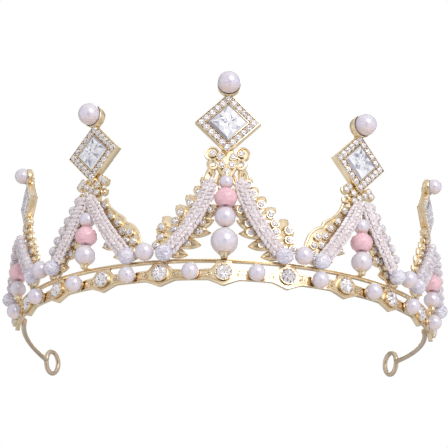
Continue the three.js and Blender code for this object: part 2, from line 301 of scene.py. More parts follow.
def pointed(rings, low, high):
    """Faceted rings that are closed by a point at either end."""
    points, faces = facets(rings)
    count, total = len(rings[0]), len(points)
    for i in range(count):
        j = (i + 1) % count
        faces += [[j, i, total], [total - count + i, total - count + j, total + 1]]
    return points + [(0, 0, low), (0, 0, high)], faces


def brilliant(radius, sides):
    """A round cut stone with its girdle at z = 0.

    The facets on its table stand for the lower ones that show through it.
    """
    rings = []
    for row, (reach, height) in enumerate([(1.0, 0.0), (0.78, 0.24), (0.56, 0.36), (0.28, 0.33)]):
        ring = []
        for i in range(2 * sides):
            angle = math.pi * (i + 0.5 * (row % 2)) / sides
            dip = 0.035 if i % 2 else -0.02
            x, y = radius * reach * math.cos(angle), radius * reach * math.sin(angle)
            ring.append((x, y, radius * (height + dip)))
        rings.append(ring)
    return pointed(rings, -0.5 * radius, 0.37 * radius)


SEAT_STEPS = 16
LARGE_STONE = 2.0  # stones of a larger radius have more facets and larger prongs
STONE_SINK = 0.12  # how deep the girdle sits in the seat
PRONG_GAP = 0.06  # from the girdle out to the middle of a prong


def seat(radius, low, high, lip=0.28):
    """The rimmed gold cup that a round stone sits in."""
    outer = radius + lip
    return lathe(
        [
            (0, low), (outer * 0.9, low), (outer, low + 0.15), (outer, high - 0.1), (outer - 0.1, high),
            (radius - 0.06, high), (radius - 0.12, high - 0.3), (0, high - 0.45),
        ],
        SEAT_STEPS,
    )


def set_stone(gold, stones, put, x, y, radius, low, high, prongs=4, spin=0.0):
    """A stone in its seat, held by small round prongs."""
    gold.add(moved(seat(radius, low, high), x, y), put)
    cut = brilliant(radius, 10 if radius > LARGE_STONE else 5)
    stones.add(moved(cut, x, y, high - STONE_SINK, draw.uniform(0, math.pi)), put)
    grain = ball(0.24 if radius < LARGE_STONE else 0.3, 6, 4)
    for spot in circle(x, y, high + 0.06, radius + PRONG_GAP, prongs, spin):
        gold.add(moved(grain, *spot), put)


# --- materials
def new_material(name):
    """A new material with an empty tree but for its shader and output."""
    material = bpy.data.materials.new(name)
    material.use_nodes = True
    tree = material.node_tree
    tree.nodes.clear()
    shader = tree.nodes.new("ShaderNodeBsdfPrincipled")
    output = tree.nodes.new("ShaderNodeOutputMaterial")
    tree.links.new(shader.outputs[0], output.inputs[0])
    return material, tree, shader


def node(tree, kind, **values):
    """A new node; each value goes to the socket or the property of that name."""
    made = tree.nodes.new("ShaderNode" + kind)
    for key, value in values.items():
        if key in made.inputs:
            made.inputs[key].default_value = value
        else:
            setattr(made, key, value)
    return made


def preset(shader, **values):
    """Constants straight on the shader's sockets; an underscore stands for a space in a socket's name."""
    for key, value in values.items():
        shader.inputs[key.replace("_", " ")].default_value = value


def ramp(tree, source, stops):
    """A colour ramp over the source, given as stops of a position and a colour or a grey."""
    made = tree.nodes.new("ShaderNodeValToRGB")
    elements = made.color_ramp.elements
    while len(elements) < len(stops):
        elements.new(0.5)
    for element, (position, colour) in zip(elements, stops):
        element.position = position
        element.color = (*colour, 1) if isinstance(colour, tuple) else (colour, colour, colour, 1)
    tree.links.new(source, made.inputs[0])
    return made.outputs[0]


def noise_of(tree, scale, detail):
    """Noise in the piece's own coordinates."""
    coords = tree.nodes.new("ShaderNodeTexCoord")
    made = node(tree, "TexNoise", Scale=scale, Detail=detail)
    tree.links.new(coords.outputs["Object"], made.inputs["Vector"])
    return made.outputs[0]


def mix(tree, share, a, b, blend="MIX"):
    """Two colours mixed; each of share, a and b is a socket or a constant."""
    made = tree.nodes.new("ShaderNodeMix")
    made.data_type = "RGBA"
    made.blend_type = blend
    for socket, value in ((made.inputs[0], share), (made.inputs[6], a), (made.inputs[7], b)):
        if isinstance(value, bpy.types.NodeSocket):
            tree.links.new(value, socket)
        elif isinstance(value, tuple):
            socket.default_value = (*value, 1)
        else:
            socket.default_value = value
    return made.outputs[2]


def scaled(tree, source, low=0.0, high=1.0, start=0.0):
    """The source's range, from start to 1, carried to low to high."""
    made = node(tree, "MapRange")
    preset(made, From_Min=start, To_Min=low, To_Max=high)
    tree.links.new(source, made.inputs[0])
    return made.outputs[0]


def metal_material(name, light, deep, recess_shade, roughness):
    """Polished plated casting: soft colour drift, painted shade that darkens its recesses, and a fine cast
    grain.
    """
    material, tree, shader = new_material(name)
    drift = noise_of(tree, 260, 2)
    colour = ramp(tree, drift, [(0.35, light), (0.68, deep)])
    # painted shade: ambient occlusion pulls the base colour towards a dark brown in recesses and between
    # parts
    occlusion_shade = node(tree, "AmbientOcclusion", Distance=0.7 * MM, samples=6)
    depth = ramp(tree, occlusion_shade.outputs["AO"], [(0.25, 1.0), (0.8, 0.0)])
    tree.links.new(mix(tree, depth, colour, recess_shade), shader.inputs["Base Color"])
    preset(shader, Metallic=1.0)
    tree.links.new(scaled(tree, noise_of(tree, 900, 4), *roughness), shader.inputs["Roughness"])
    grain = node(tree, "Bump", Strength=0.16, Distance=0.08 * MM)
    tree.links.new(noise_of(tree, 1500, 4), grain.inputs["Height"])
    tree.links.new(grain.outputs[0], shader.inputs["Normal"])
    return material


def facet_reflection_tone(tree):
    """One random number for each cut facet, from the facet's own direction, that picks its painted
    reflection.
    """
    geometry = tree.nodes.new("ShaderNodeNewGeometry")
    snap = node(tree, "VectorMath", operation="SNAP")
    snap.inputs[1].default_value = (0.02, 0.02, 0.02)
    tree.links.new(geometry.outputs["True Normal"], snap.inputs[0])
    tone = tree.nodes.new("ShaderNodeTexWhiteNoise")
    tree.links.new(snap.outputs[0], tone.inputs["Vector"])
    return tone.outputs[0]


def cut_material(name, stops, roughness, coat, transmission=0.0, ior=1.5, metallic=0.0):
    """Cut glass whose facets carry painted reflections: each facet takes a random tone in place of the
    stone's inner reflections.
    """
    material, tree, shader = new_material(name)
    tone = facet_reflection_tone(tree)
    # painted reflection: the ramp turns each facet's random number into a dark to light reflection tone
    colour = ramp(tree, tone, stops)
    cloud = ramp(tree, noise_of(tree, 420, 2), [(0.3, (0.93, 0.93, 0.95)), (0.7, 1.0)])
    tree.links.new(mix(tree, 1.0, colour, cloud, "MULTIPLY"), shader.inputs["Base Color"])
    tree.links.new(scaled(tree, noise_of(tree, 700, 2), *roughness), shader.inputs["Roughness"])
    preset(shader, Transmission_Weight=transmission, IOR=ior, Metallic=metallic)
    preset(shader, Coat_Weight=coat, Coat_Roughness=0.04)
    return material


def pearl_material(name, top, middle, painted_bounce):
    """Nacre with painted light: its colour goes by which way the surface faces, lilac-white above and a
    painted warm bounce from the gold below, with a faint overtone and a soft clear coat.
    """
    material, tree, shader = new_material(name)
    # painted light: upward faces are greyer, downward faces take a painted warm bounce from the gold
    geometry = tree.nodes.new("ShaderNodeNewGeometry")
    split = tree.nodes.new("ShaderNodeSeparateXYZ")
    tree.links.new(geometry.outputs["Normal"], split.inputs[0])
    height = scaled(tree, split.outputs["Z"], start=-1)
    body = ramp(tree, height, [(0.06, painted_bounce), (0.3, middle), (0.55, middle), (0.9, top)])
    sheen = noise_of(tree, 190, 2)
    overtone = ramp(tree, sheen, [(0.35, (0.97, 0.95, 1.0)), (0.65, (1.0, 0.99, 0.96))])
    tree.links.new(mix(tree, 1.0, body, overtone, "MULTIPLY"), shader.inputs["Base Color"])
    tree.links.new(scaled(tree, noise_of(tree, 600, 3), 0.3, 0.42), shader.inputs["Roughness"])
    preset(shader, Coat_Weight=1.0, Coat_Roughness=0.16, Coat_IOR=2.35)
    return material


# each metal's recess colour is the painted shade in its recesses
GOLD = metal_material(
    "champagne_gold",
    light=(0.98, 0.83, 0.61),
    deep=(0.91, 0.73, 0.48),
    recess_shade=(0.61, 0.46, 0.28),
    roughness=(0.18, 0.34),
)
ARM = metal_material(
    "plated_wire",
    light=(0.76, 0.63, 0.49),
    deep=(0.68, 0.55, 0.41),
    recess_shade=(0.44, 0.33, 0.22),
    roughness=(0.28, 0.42),
)
# the last colour is the painted warm bounce on the pearls' lower side
PEARL = pearl_material("pearl_nacre", (0.70, 0.68, 0.72), (0.71, 0.65, 0.76), (0.82, 0.66, 0.63))
# the stops of the cut materials below are the tones of their painted facet reflections
STONE = cut_material(
    "rhinestone",
    [
        (0.0, (0.12, 0.10, 0.11)), (0.12, (0.34, 0.29, 0.30)), (0.3, (0.74, 0.68, 0.69)),
        (0.62, (0.95, 0.91, 0.92)),
    ],
    roughness=(0.02, 0.08), coat=1.0, ior=1.6, metallic=0.35,
)
PRINCESS = cut_material(
    "square_crystal",
    [
        (0.0, (0.28, 0.28, 0.36)), (0.14, (0.52, 0.51, 0.60)), (0.34, (0.75, 0.75, 0.82)),
        (0.75, (0.93, 0.93, 0.96)),
    ],
    roughness=(0.01, 0.05), coat=1.0, ior=1.6, metallic=0.2,
)
BICONE = cut_material(
    "pink_bicone",
    [
        (0.0, (0.77, 0.66, 0.66)), (0.2, (0.88, 0.77, 0.78)), (0.5, (0.93, 0.83, 0.84)),
        (0.85, (0.98, 0.92, 0.95)),
    ],
    roughness=(0.04, 0.12), coat=0.6, transmission=0.12,
)
LILAC = cut_material(
    "lilac_faceted",
    [
        (0.0, (0.56, 0.51, 0.64)), (0.25, (0.72, 0.67, 0.80)), (0.6, (0.84, 0.80, 0.90)),
        (0.9, (0.96, 0.94, 0.99)),
    ],
    roughness=(0.05, 0.14), coat=0.5, transmission=0.12,
)
ROUND_PINK = cut_material(
    "lilac_pink_bead",
    [
        (0.0, (0.66, 0.56, 0.64)), (0.25, (0.82, 0.73, 0.79)), (0.6, (0.93, 0.86, 0.91)),
        (0.9, (1.0, 0.97, 0.99)),
    ],
    roughness=(0.04, 0.12), coat=0.6, transmission=0.25,
)
PINK = cut_material(
    "pink_rondelle",
    [(0.0, (0.82, 0.49, 0.55)), (0.4, (0.87, 0.53, 0.60)), (0.8, (0.90, 0.57, 0.63))],
    roughness=(0.22, 0.32), coat=0.35,
)

# --- band
BAND_CRYSTAL_RADIUS = 2.85
BAND_PEARL_RADIUS, BAND_PEARL_HEIGHT, BAND_PEARL_OUT = 3.0, -0.3, 3.2
VALLEY_PEARL_RADIUS, VALLEY_PEARL_OUT = 3.3, 4.3
BAND_BACK = -0.8
GROOVE_DEPTH = 0.32
# x, y and radius of the grains on a lozenge's shoulder
SHOULDER_GRAINS = ((5.0, -0.6, 0.42), (6.5, -0.3, 0.3), (6.5, -1.1, 0.3), (5.5, 0.6, 0.26), (7.6, -0.7, 0.24))
PEARL_ARCS = [(i - (LOZENGES - 2) / 2) * LOZENGE_PITCH for i in range(LOZENGES - 1)]
LOZENGE_ARCS = [(i - (LOZENGES - 1) / 2) * LOZENGE_PITCH for i in range(LOZENGES)]


def between(x, stops):
    """Smooth interpolation in a short list of (x, y)."""
    if x <= stops[0][0]:
        return stops[0][1]
    for (x0, y0), (x1, y1) in zip(stops, stops[1:]):
        if x <= x1:
            t = (x - x0) / (x1 - x0)
            t = t * t * (3 - 2 * t)
            return y0 + (y1 - y0) * t
    return stops[-1][1]


def ribbon(gold, start, end, section_at, step=0.7):
    """A long casting along the band whose section changes with x."""
    count = max(2, round((end - start) / step))
    sections = [section_at(start + (end - start) * i / count) for i in range(count + 1)]
    gold.add(loft(sections), bent())


def rail_section(x):
    """The rail along the top of the band, with a groove down its face."""
    low, high, back, front = 3.75, 5.05, BAND_BACK, 0.8
    middle = (low + high) / 2
    profile = [
        (low, back + 0.2), (low, front - 0.25), (low + 0.18, front), (middle - 0.22, front + 0.05),
        (middle, front - 0.25), (middle + 0.22, front + 0.05), (high - 0.18, front),
        (high, front - 0.25), (high, back + 0.2), (high - 0.2, back), (low + 0.2, back),
    ]
    return [(x, y, z) for y, z in profile]


def strip_section(x):
    """The strip below the rail: it widens to a lozenge at each crystal and has a milled lower edge."""
    u = abs((x + LOZENGE_PITCH / 2) % LOZENGE_PITCH - LOZENGE_PITCH / 2)
    if LOZENGES * LOZENGE_PITCH / 2 < abs(x):
        u = LOZENGE_PITCH / 2
    low = -2.6 - max(0.0, 2.2 - 0.4 * u) ** 1.1 * 0.9
    high = between(u, [(0, 4.4), (2.3, 4.3), (3.6, 2.3), (4.6, 1.4), (8.4, 1.2)])
    front = between(u, [(0, 1.0), (8.0, 0.75), (9.5, 0.25)])
    back, lip = BAND_BACK, GROOVE_DEPTH
    profile = [
        (low, back + 0.2), (low, front - 0.2), (low + 0.15, front), (low + 0.42, front),
        (low + 0.6, front - lip), (low + 0.86, front - lip), (low + 1.0, front - 0.05),
        (low + 1.2, front - 0.05), (low + 1.38, front - lip), (high - 0.72, front - lip),
        (high - 0.52, front), (high - 0.18, front), (high, front - 0.2), (high, back + 0.2),
        (high - 0.2, back), (low + 0.2, back),
    ]
    return [(x, y, z) for y, z in profile]


band = Shape()
band_stones = Shape()
ribbon(band, -BAND_END, BAND_END, rail_section, 1.4)
ribbon(band, -BAND_END, BAND_END, strip_section)
for side in (-1, 1):
    # the tab that closes the band's end
    inner, outer = side * (BAND_END - 2.4) - 1.0, side * (BAND_END - 2.4) + 3.2 * side
    tab = [
        [(inner, y, z) for y, z in ((-2.6, BAND_BACK), (-2.6, 0.5), (4.8, 0.5), (4.8, BAND_BACK))],
        [(outer, y, z) for y, z in ((-2.4, -0.7), (-2.4, 0.3), (4.6, 0.3), (4.6, -0.7))],
    ]
    band.add(loft(tab if side > 0 else tab[::-1]), bent())
for arc in LOZENGE_ARCS:
    put = flat(arc)
    set_stone(band, band_stones, put, 0, 0, BAND_CRYSTAL_RADIUS, 0.2, 1.75, prongs=12, spin=0.2)
    for side in (-1, 1):
        for x, y, r in SHOULDER_GRAINS:
            band.add(moved(ball(r, 8, 5), side * x, y, 0.6), bent(arc))
        # a fine ring round the largest grain
        band.add(tube(circle(side * 5.0, -0.6, 0.62, 0.75, 12), 0.13, 6, loop=True), bent(arc))
dish = lathe([(0, 0.0), (2.1, 0.0), (2.5, 0.5), (2.75, 1.5), (2.62, 1.55), (2.3, 0.85), (0, 0.7)], 24)
for arc in PEARL_ARCS:
    band.add(moved(dish, 0, BAND_PEARL_HEIGHT, 0), flat(arc))
band.piece("band_casting", GOLD, "crown", "gold_casting", ["base_band"])
band_stones.piece("band_crystals", STONE, "crown", "crystal", smooth=0)


def make_pearl(node_name, part, arc, height, out, body="crown"):
    """A pearl that takes the place of its CAD node."""
    pearl = Shape()
    pearl.add(moved(part, 0, height, out), flat(arc))
    pearl.piece(f"{node_name}_nacre", PEARL, body, "pearl", [node_name])


for i, arc in enumerate(PEARL_ARCS):
    part = ball(BAND_PEARL_RADIUS, 40, 24)
    make_pearl(f"band_pearl_{i + 1}", part, arc, BAND_PEARL_HEIGHT, BAND_PEARL_OUT)

# name, arc and height of the pearls between the spikes
VALLEYS = [("front", 27.0, 7.2), ("side", 74.4, 8.8)]
for name, arc, height in VALLEYS:
    for label, side in (("left", -1), ("right", 1)):
        part = ball(VALLEY_PEARL_RADIUS, 40, 24)
        make_pearl(f"valley_pearl_{name}_{label}", part, side * arc, height, VALLEY_PEARL_OUT)

# --- spikes
GAP = 0.3  # between neighbouring beads of a stack
FRAME_FOOT = 5.35  # height at which the spikes stand on the rail
STACK_OUT = 2.4
WING_BACK = -0.6
BEAD_HOLE = 0.6
STACK_WIRE_RADIUS = 0.3
RONDELLE_HALF = 3.1  # half of the pink bead's height
RONDELLE_SIDES = 18
# Heights are measured from the line of the band's crystals. Wings are listed for the left side.
FRONT = {
    "plate": 56.4, "crystal": 10.0, "border": 3.4, "per_side": 6,
    "finial": 71.0, "finial_radius": 4.1, "apex": 34.5,
    "cup": 4.9, "stack": 3.75, "top": 2.6,
    # root, tip and stones of each inner leaf
    "leaves": [
        ((-9.4, 20.6), (-1.9, 25.2), 4.9, [(-5.4, 23.4)]),
        ((-12.4, 16.9), (-3.9, 19.6), 4.8, [(-8.3, 18.5)]),
        ((-15.4, 15.4), (-4.8, 14.8), 4.4, [(-9.0, 15.0), (-12.0, 15.0)]),
        ((-17.4, 11.9), (-8.2, 10.2), 4.6, [(-13.2, 10.9)]),
        ((-21.0, 8.6), (-12.8, 6.6), 4.2, [(-17.4, 7.7)]),
    ],
    # root, tip and stones of each outer leaf
    "lobes": [
        ((-4.6, 30.6), (-9.0, 36.0), 4.4, [(-7.6, 33.0)]),
        ((-6.6, 27.0), (-11.2, 32.6), 4.6, [(-9.4, 29.6)]),
        ((-8.8, 23.4), (-14.2, 29.2), 4.6, [(-12.4, 25.8)]),
        ((-11.6, 19.6), (-17.8, 25.4), 4.8, [(-15.9, 22.2)]),
        ((-12.8, 16.2), (-19.6, 19.6), 5.0, [(-17.5, 19.0), (-17.9, 15.9)]),
        ((-16.2, 15.6), (-22.6, 21.4), 4.6, []),
        ((-15.6, 12.4), (-24.8, 17.0), 5.2, [(-22.4, 17.0), (-22.6, 13.4)]),
        ((-18.0, 9.6), (-25.4, 12.2), 4.8, [(-24.2, 10.2)]),
        ((-18.6, 6.6), (-24.8, 7.6), 3.6, []),
    ],
    "spine": [(-4.4, 33.0), (-9.5, 25.0), (-14.5, 17.0), (-20.5, 9.0), (-22.4, 5.6)],
    "strand_top": (4.7, 33.4),
    "bow": 2.0,
}
MIDDLE = {
    "plate": 49.3, "crystal": 10.0, "border": 3.4, "per_side": 6,
    "finial": 63.8, "finial_radius": 4.1, "apex": 31.0,
    "cup": 3.85, "stack": 0, "top": 2.9,
    "leaves": [
        ((-10.0, 19.6), (-3.7, 21.8), 4.4, [(-6.6, 20.9)]),
        ((-11.8, 15.8), (-5.0, 17.4), 4.4, [(-8.2, 16.8)]),
        ((-14.4, 13.4), (-5.6, 12.6), 4.2, [(-8.8, 12.9), (-11.6, 13.2)]),
        ((-18.0, 9.6), (-10.8, 8.1), 4.2, [(-14.4, 8.9)]),
    ],
    "lobes": [
        ((-4.2, 27.0), (-7.8, 32.4), 4.6, [(-6.8, 30.0)]),
        ((-6.4, 23.4), (-11.2, 29.2), 5.2, [(-9.2, 26.6)]),
        ((-9.0, 19.6), (-15.2, 25.4), 5.4, [(-12.4, 23.2)]),
        ((-11.2, 16.0), (-19.0, 21.2), 5.6, [(-14.0, 19.8), (-16.6, 19.2)]),
        ((-13.6, 12.4), (-22.2, 16.4), 5.6, [(-18.2, 16.2), (-18.8, 13.0)]),
        ((-15.6, 9.0), (-23.8, 11.4), 5.2, [(-20.8, 10.6)]),
        ((-16.4, 6.4), (-22.6, 7.0), 3.6, []),
    ],
    # the wing towards the front ends in a smooth rim instead of lobes
    "rim": [
        (-6.4, 31.4), (-7.6, 28.6), (-9.6, 26.2), (-12.2, 24.1), (-14.4, 22.6), (-15.6, 20.6),
        (-18.0, 19.3), (-20.0, 17.2), (-21.5, 13.8), (-22.0, 11.0), (-21.0, 7.0),
    ],
    "rim_stones": [
        (-6.2, 28.4), (-9.2, 23.6), (-12.4, 20.6), (-14.6, 17.2), (-17.4, 16.4), (-19.1, 12.8),
        (-16.0, 13.4), (-18.4, 9.4),
    ],
    "spine": [(-3.8, 30.0), (-8.0, 23.0), (-12.4, 15.4), (-17.2, 8.6), (-18.6, 5.6)],
    "strand_top": (1.3, 31.6),
    "edge_beads": [(-4.6, 31.6), (-7.1, 28.4), (-9.5, 24.9), (-12.1, 21.7), (-14.6, 18.4), (-17.0, 15.0)],
    "bow": 0.9,
}
SIDE = {
    "plate": 45.2, "crystal": 7.6, "border": 2.9, "per_side": 5,
    "finial": 56.3, "finial_radius": 3.1, "apex": 30.0,
    "cup": 3.2, "stack": 0, "top": 0,
    "leaves": [
        ((-9.4, 17.0), (-4.4, 18.6), 4.0, [(-6.6, 18.0)]),
        ((-10.8, 13.4), (-5.2, 13.8), 4.0, [(-8.0, 13.7)]),
        ((-14.2, 9.6), (-9.2, 8.1), 3.8, [(-11.8, 8.9)]),
    ],
    "lobes": [
        ((-3.8, 26.0), (-7.0, 31.0), 4.4, [(-6.0, 28.8)]),
        ((-5.8, 22.2), (-10.2, 27.4), 5.0, [(-8.4, 25.0)]),
        ((-8.0, 18.2), (-13.6, 23.2), 5.2, [(-11.0, 21.2)]),
        ((-9.8, 14.4), (-16.4, 18.6), 5.2, [(-13.4, 17.0)]),
        ((-11.4, 10.6), (-18.2, 13.4), 5.0, [(-15.2, 12.6)]),
        ((-12.6, 7.6), (-18.6, 8.8), 4.2, [(-16.0, 8.6)]),
    ],
    "spine": [(-3.2, 28.6), (-6.8, 21.6), (-10.4, 14.2), (-13.6, 8.4), (-14.6, 5.6)],
    "strand_top": (1.6, 29.0),
    "bow": 0.7,
    "round_beads": True,
    "ribbed_cup": True,
}
# name, place, arc along the band, lift of the square plate, size
SPIKES = [
    ("front", 0, 0.0, 0.0, FRONT),
    ("middle_left", -1, -52.2, 0.9, MIDDLE),
    ("middle_right", 1, 51.0, -0.9, MIDDLE),
    ("side_left", -2, -102.0, 0.0, SIDE),
    ("side_right", 2, 102.0, 0.0, SIDE),
]


def mirror(points, side):
    """Lists are drawn for the left wing (x below 0); side 1 gives the right one."""
    return [(-side * x, *rest) for x, *rest in points]


def plate_corner(size):
    """From the middle of the square plate to its corners."""
    return (size["crystal"] / 2 + size["border"]) * math.sqrt(2)


def make_wing(gold, stones, size, arc, side, rimmed):
    """One leaf wing: a flattened spine with leaves on its inner side and lobes or a rim on its outer one."""
    put = bent(arc)
    back, front = WING_BACK, 0.75
    spine = [(-side * x, y, -0.05) for x, y in size["spine"]]
    path = smooth_path(spine, 6)
    count = len(path)
    radii = [2.0 + 1.7 * math.sin(math.pi * min(1, 0.12 + 0.8 * i / count)) for i in range(count)]
    spread = tube(path, radii, 12)
    flattened = [(x, y, max(back, min(front * 0.7, z * 0.5))) for x, y, z in spread[0]]
    gold.add((flattened, spread[1]), put)
    leaves = [(entry, 0.0, False) for entry in size["leaves"]]
    if rimmed:
        rim = smooth_path([(-side * x, y, 0.0) for x, y in size["rim"]], 6)
        gold.add(tube(rim, 0.62, 10), put)
        web = []
        for (x0, y0, _), (x1, y1, _) in zip(resampled(path, 30), resampled(rim, 30)):
            web.append([(x0, y0, -0.45), (x1, y1, -0.45), (x1, y1, 0.35), (x0, y0, 0.35)])
        gold.add(loft(web), put)
        for gx, gy in mirror(size["rim_stones"], side):
            set_stone(gold, stones, put, gx, gy, 1.3, 0.1, 1.3, 4, draw.uniform(0, 1.5))
    else:
        leaves += [(entry, 0.1, True) for entry in size["lobes"]]
    for (root, tip, width, gems), lift, blunt in leaves:
        (rx, ry), (tx, ty) = mirror([root, tip], side)
        gold.add(leaf((rx, ry), (tx, ty), width, back - lift, front + lift, blunt=blunt), put)
        for gx, gy in mirror(gems, side):
            set_stone(gold, stones, put, gx, gy, 1.32, 0.2, 1.35 + lift, 4, draw.uniform(0, 1.5))


def edge_beads(name, arc, side, spots):
    """Clear faceted beads sewn along a wing's outer edge, each on a short peg."""
    beads = Shape()
    for x, y in mirror(spots, side):
        cut = turned(faceted_ball(1.95, 10, 7, 0.95), draw.uniform(0, 3), draw.uniform(0, 1))
        beads.add(moved(cut, x, y, 2.5), bent(arc))
        beads.add(tube([(x, y, 0.3), (x, y, 2.0)], 0.3, 6), bent(arc))
    beads.piece(name, ROUND_PINK, "crown", "bicone_bead", smooth=0)


def make_neck(gold, stones, size, arc, place):
    """The openwork between the wings and the square plate."""
    put = flat(arc)
    low, high = size["apex"] - 3.0, size["plate"] - plate_corner(size) + 2.5
    rise = high - low
    if place == 0:
        for side in (-1, 1):
            # a curled lobe with a rim, a ring with a hole, and two legs with a slot between them
            outline = [(0, -0.6), (2.5, -0.6), (2.75, -0.2), (2.75, 0.75), (2.5, 1.0), (2.15, 0.95)]
            lobe = lathe(outline + [(1.95, 0.5), (0, 0.45)], 24)
            gold.add(moved(lobe, side * 5.5, 44.7), put)
            set_stone(gold, stones, put, side * 5.2, 44.6, 1.2, 0.3, 1.6)
            gold.add(tube(circle(side * 5.0, 40.6, 0.15, 1.6, 20), 0.78, 8, loop=True), put)
            gold.add(leaf((side * 6.7, 31.6), (side * 5.2, 40.4), 4.0, WING_BACK, 0.8, blunt=True), put)
            bend = ((6.6, 32.6), (7.5, 34.8), (7.0, 36.8), (5.9, 37.4), (5.5, 36.4))
            gold.add(tube(smooth_path([(side * x, y, 0.75) for x, y in bend], 4), 0.36, 8), put)
            gold.add(leaf((side * 1.0, 38.2), (side * 3.6, 32.4), 2.4, WING_BACK, 0.6, blunt=True), put)
            slope = [(side * x, y, 0.0) for x, y in ((0.6, 35.6), (1.9, 37.8), (2.9, 40.4), (2.4, 44.4))]
            gold.add(tube(smooth_path(slope, 5), 1.0, 8), put)
            for x, y in ((2.3, 43.4), (1.8, 40.3)):
                set_stone(gold, stones, put, side * x, y, 1.3, 0.2, 1.5)
        set_stone(gold, stones, put, 0, 37.6, 1.35, 0.2, 1.5)
        gold.add(leaf((0, 34.8), (0, high + 1.5), 6.6, WING_BACK, 0.35, blunt=True), put)
        return
    share = 0.78 if abs(place) == 2 else 1.0  # the side spikes' necks are smaller
    column = [(0, low, 0), (0, low + 0.4 * rise, 0), (0, low + 0.7 * rise, 0), (0, high, 0)]
    wide = tube(smooth_path(column, 4), 1.0, 12)
    gold.add(([(x * 4.2 * share, y, z * 0.65) for x, y, z in wide[0]], wide[1]), put)
    middle, stone = low + 0.62 * rise, 1.25 * share
    for side in (-1, 1):
        for x, y, r in ((5.9, 2.0, 1.75), (5.6, -1.9, 1.6)):
            # the upper disc carries a stone, the lower one a rim that curls into its middle
            cx, cy, r = side * x * share, middle + y * share, r * share
            disc = lathe([(0, -0.6), (r - 0.2, -0.6), (r, -0.3), (r, 0.5), (r - 0.3, 0.7), (0, 0.75)], 18)
            gold.add(moved(disc, cx, cy), put)
            if y > 0:
                set_stone(gold, stones, put, cx, cy, stone, 0.5, 1.5)
                continue
            curl = []
            for k in range(13):
                angle, reach = side * (0.6 + 0.5 * k), (r - 0.1) * (1 - 0.055 * k)
                curl.append((cx + reach * math.cos(angle) * side, cy + reach * math.sin(angle), 0.85))
            gold.add(tube(curl, 0.26, 6), put)
        for x, y in ((4.6, 3.3), (2.6, 1.3), (2.3, -1.7)):
            set_stone(gold, stones, put, side * x * share, middle + y * share, stone, 0.2, 1.6)
        gold.add(leaf((side * 1.6, low + 0.2), (side * 5.2 * share, low + 2.6), 2.9, -0.65, 0.9), put)
    for y in (3.6, -0.3, -3.3):
        set_stone(gold, stones, put, 0, middle + y * share, stone, 0.2, 1.75)


PAVE_RADIUS, PAVE_HEIGHT = 1.34, 2.15


def corner_of(reach, k):
    """Corner k of a square that stands on one corner, with its sides at that reach from its middle."""
    angle = math.pi / 2 * k
    return reach * math.sqrt(2) * math.cos(angle), reach * math.sqrt(2) * math.sin(angle)


def make_bezel(gold, stones, size, arc):
    """The square plate: two walls round the crystal with a row of small stones between them."""
    put = flat(arc)
    half, border, plate = size["crystal"] / 2 + 0.1, size["border"] - 0.1, size["plate"]
    profile = [
        (0.0, 0.0), (0.0, 2.3), (0.12, 2.55), (0.3, 2.5), (0.4, 1.75), (border - 0.42, 1.75),
        (border - 0.34, 2.3), (border - 0.12, 2.25), (border, 2.0), (border, -0.5),
        (border - 0.3, -0.8), (0.0, -0.8),
    ]
    sections = []
    for k in range(4):
        corners = [(*corner_of(half + d, k), z) for d, z in profile]
        sections.append([(x, y + plate, z) for x, y, z in corners])
    gold.add(loft([s[::-1] for s in sections], closed=True), put)
    corners = [corner_of(half, k) for k in range(4)]
    gold.add(loft([[(x, y + plate, z) for x, y in corners] for z in (-0.8, 0.3)]), put)
    # bead-set stones between the two walls, with a grain at each side of each gap
    middle = half + border / 2
    per_side = size["per_side"]
    for k in range(4):
        (x0, y0), (x1, y1) = corner_of(middle, k), corner_of(middle, k + 1)
        facing = (math.pi / 2 * k + math.pi / 2 * (k + 1)) / 2
        nx, ny = math.cos(facing), math.sin(facing)
        for i in range(per_side - 1):
            t = i / (per_side - 1)
            x, y = x0 + (x1 - x0) * t, y0 + (y1 - y0) * t + plate
            stones.add(moved(brilliant(PAVE_RADIUS, 5), x, y, PAVE_HEIGHT, draw.uniform(0, 1)), put)
            gold.add(moved(seat(PAVE_RADIUS, 1.3, PAVE_HEIGHT, 0.1), x, y), put)
            t += 0.5 / (per_side - 1)
            x, y = x0 + (x1 - x0) * t, y0 + (y1 - y0) * t + plate
            for out in (-0.85, 0.85):
                gold.add(moved(ball(0.36, 8, 5), x + nx * out, y + ny * out, 2.25), put)


def princess(side):
    """A square crystal standing on a corner, with lower facets that show through its table."""
    g = side / 2 * math.sqrt(2)
    rings = [(g, 1.9), (g, 2.3), (g * 0.86, 2.85)]
    points = [p for reach, z in rings for p in circle(0, 0, z, reach, 4)]
    faces = [[3, 2, 1, 0]]
    for row in range(2):
        for k in range(4):
            a, b = row * 4 + k, row * 4 + (k + 1) % 4
            faces.append([a, b, b + 4, a + 4])
    # the table: two zigzag rings of facets
    first = len(points)
    count = 16
    for reach, lift in ((0.86, 2.95), (0.56, 3.2), (0.27, 3.12)):
        for k in range(count):
            angle = 2 * math.pi * k / count
            square = 1 / (abs(math.cos(angle)) + abs(math.sin(angle)))
            zigzag = 1.0 if reach > 0.8 else (1.12 if k % 2 else 0.86)
            out = g * reach * square * zigzag
            points.append((out * math.cos(angle), out * math.sin(angle), lift + (0.07 if k % 2 else -0.05)))
    top = len(points)
    points.append((0, 0, 3.2))
    for k in range(4):
        j = (k + 1) % 4
        edge = [first + (4 * k + i) % count for i in range(5)]
        faces.append([8 + k, 8 + j, edge[4], edge[3], edge[2], edge[1], edge[0]])
    for row in range(2):
        a, b = first + row * count, first + (row + 1) * count
        for k in range(count):
            faces += facet_pair(a, b, k, (k + 1) % count, (k + row + 1) % 2)
    last = first + 2 * count
    for k in range(count):
        faces.append([last + k, last + (k + 1) % count, top])
    return points, faces


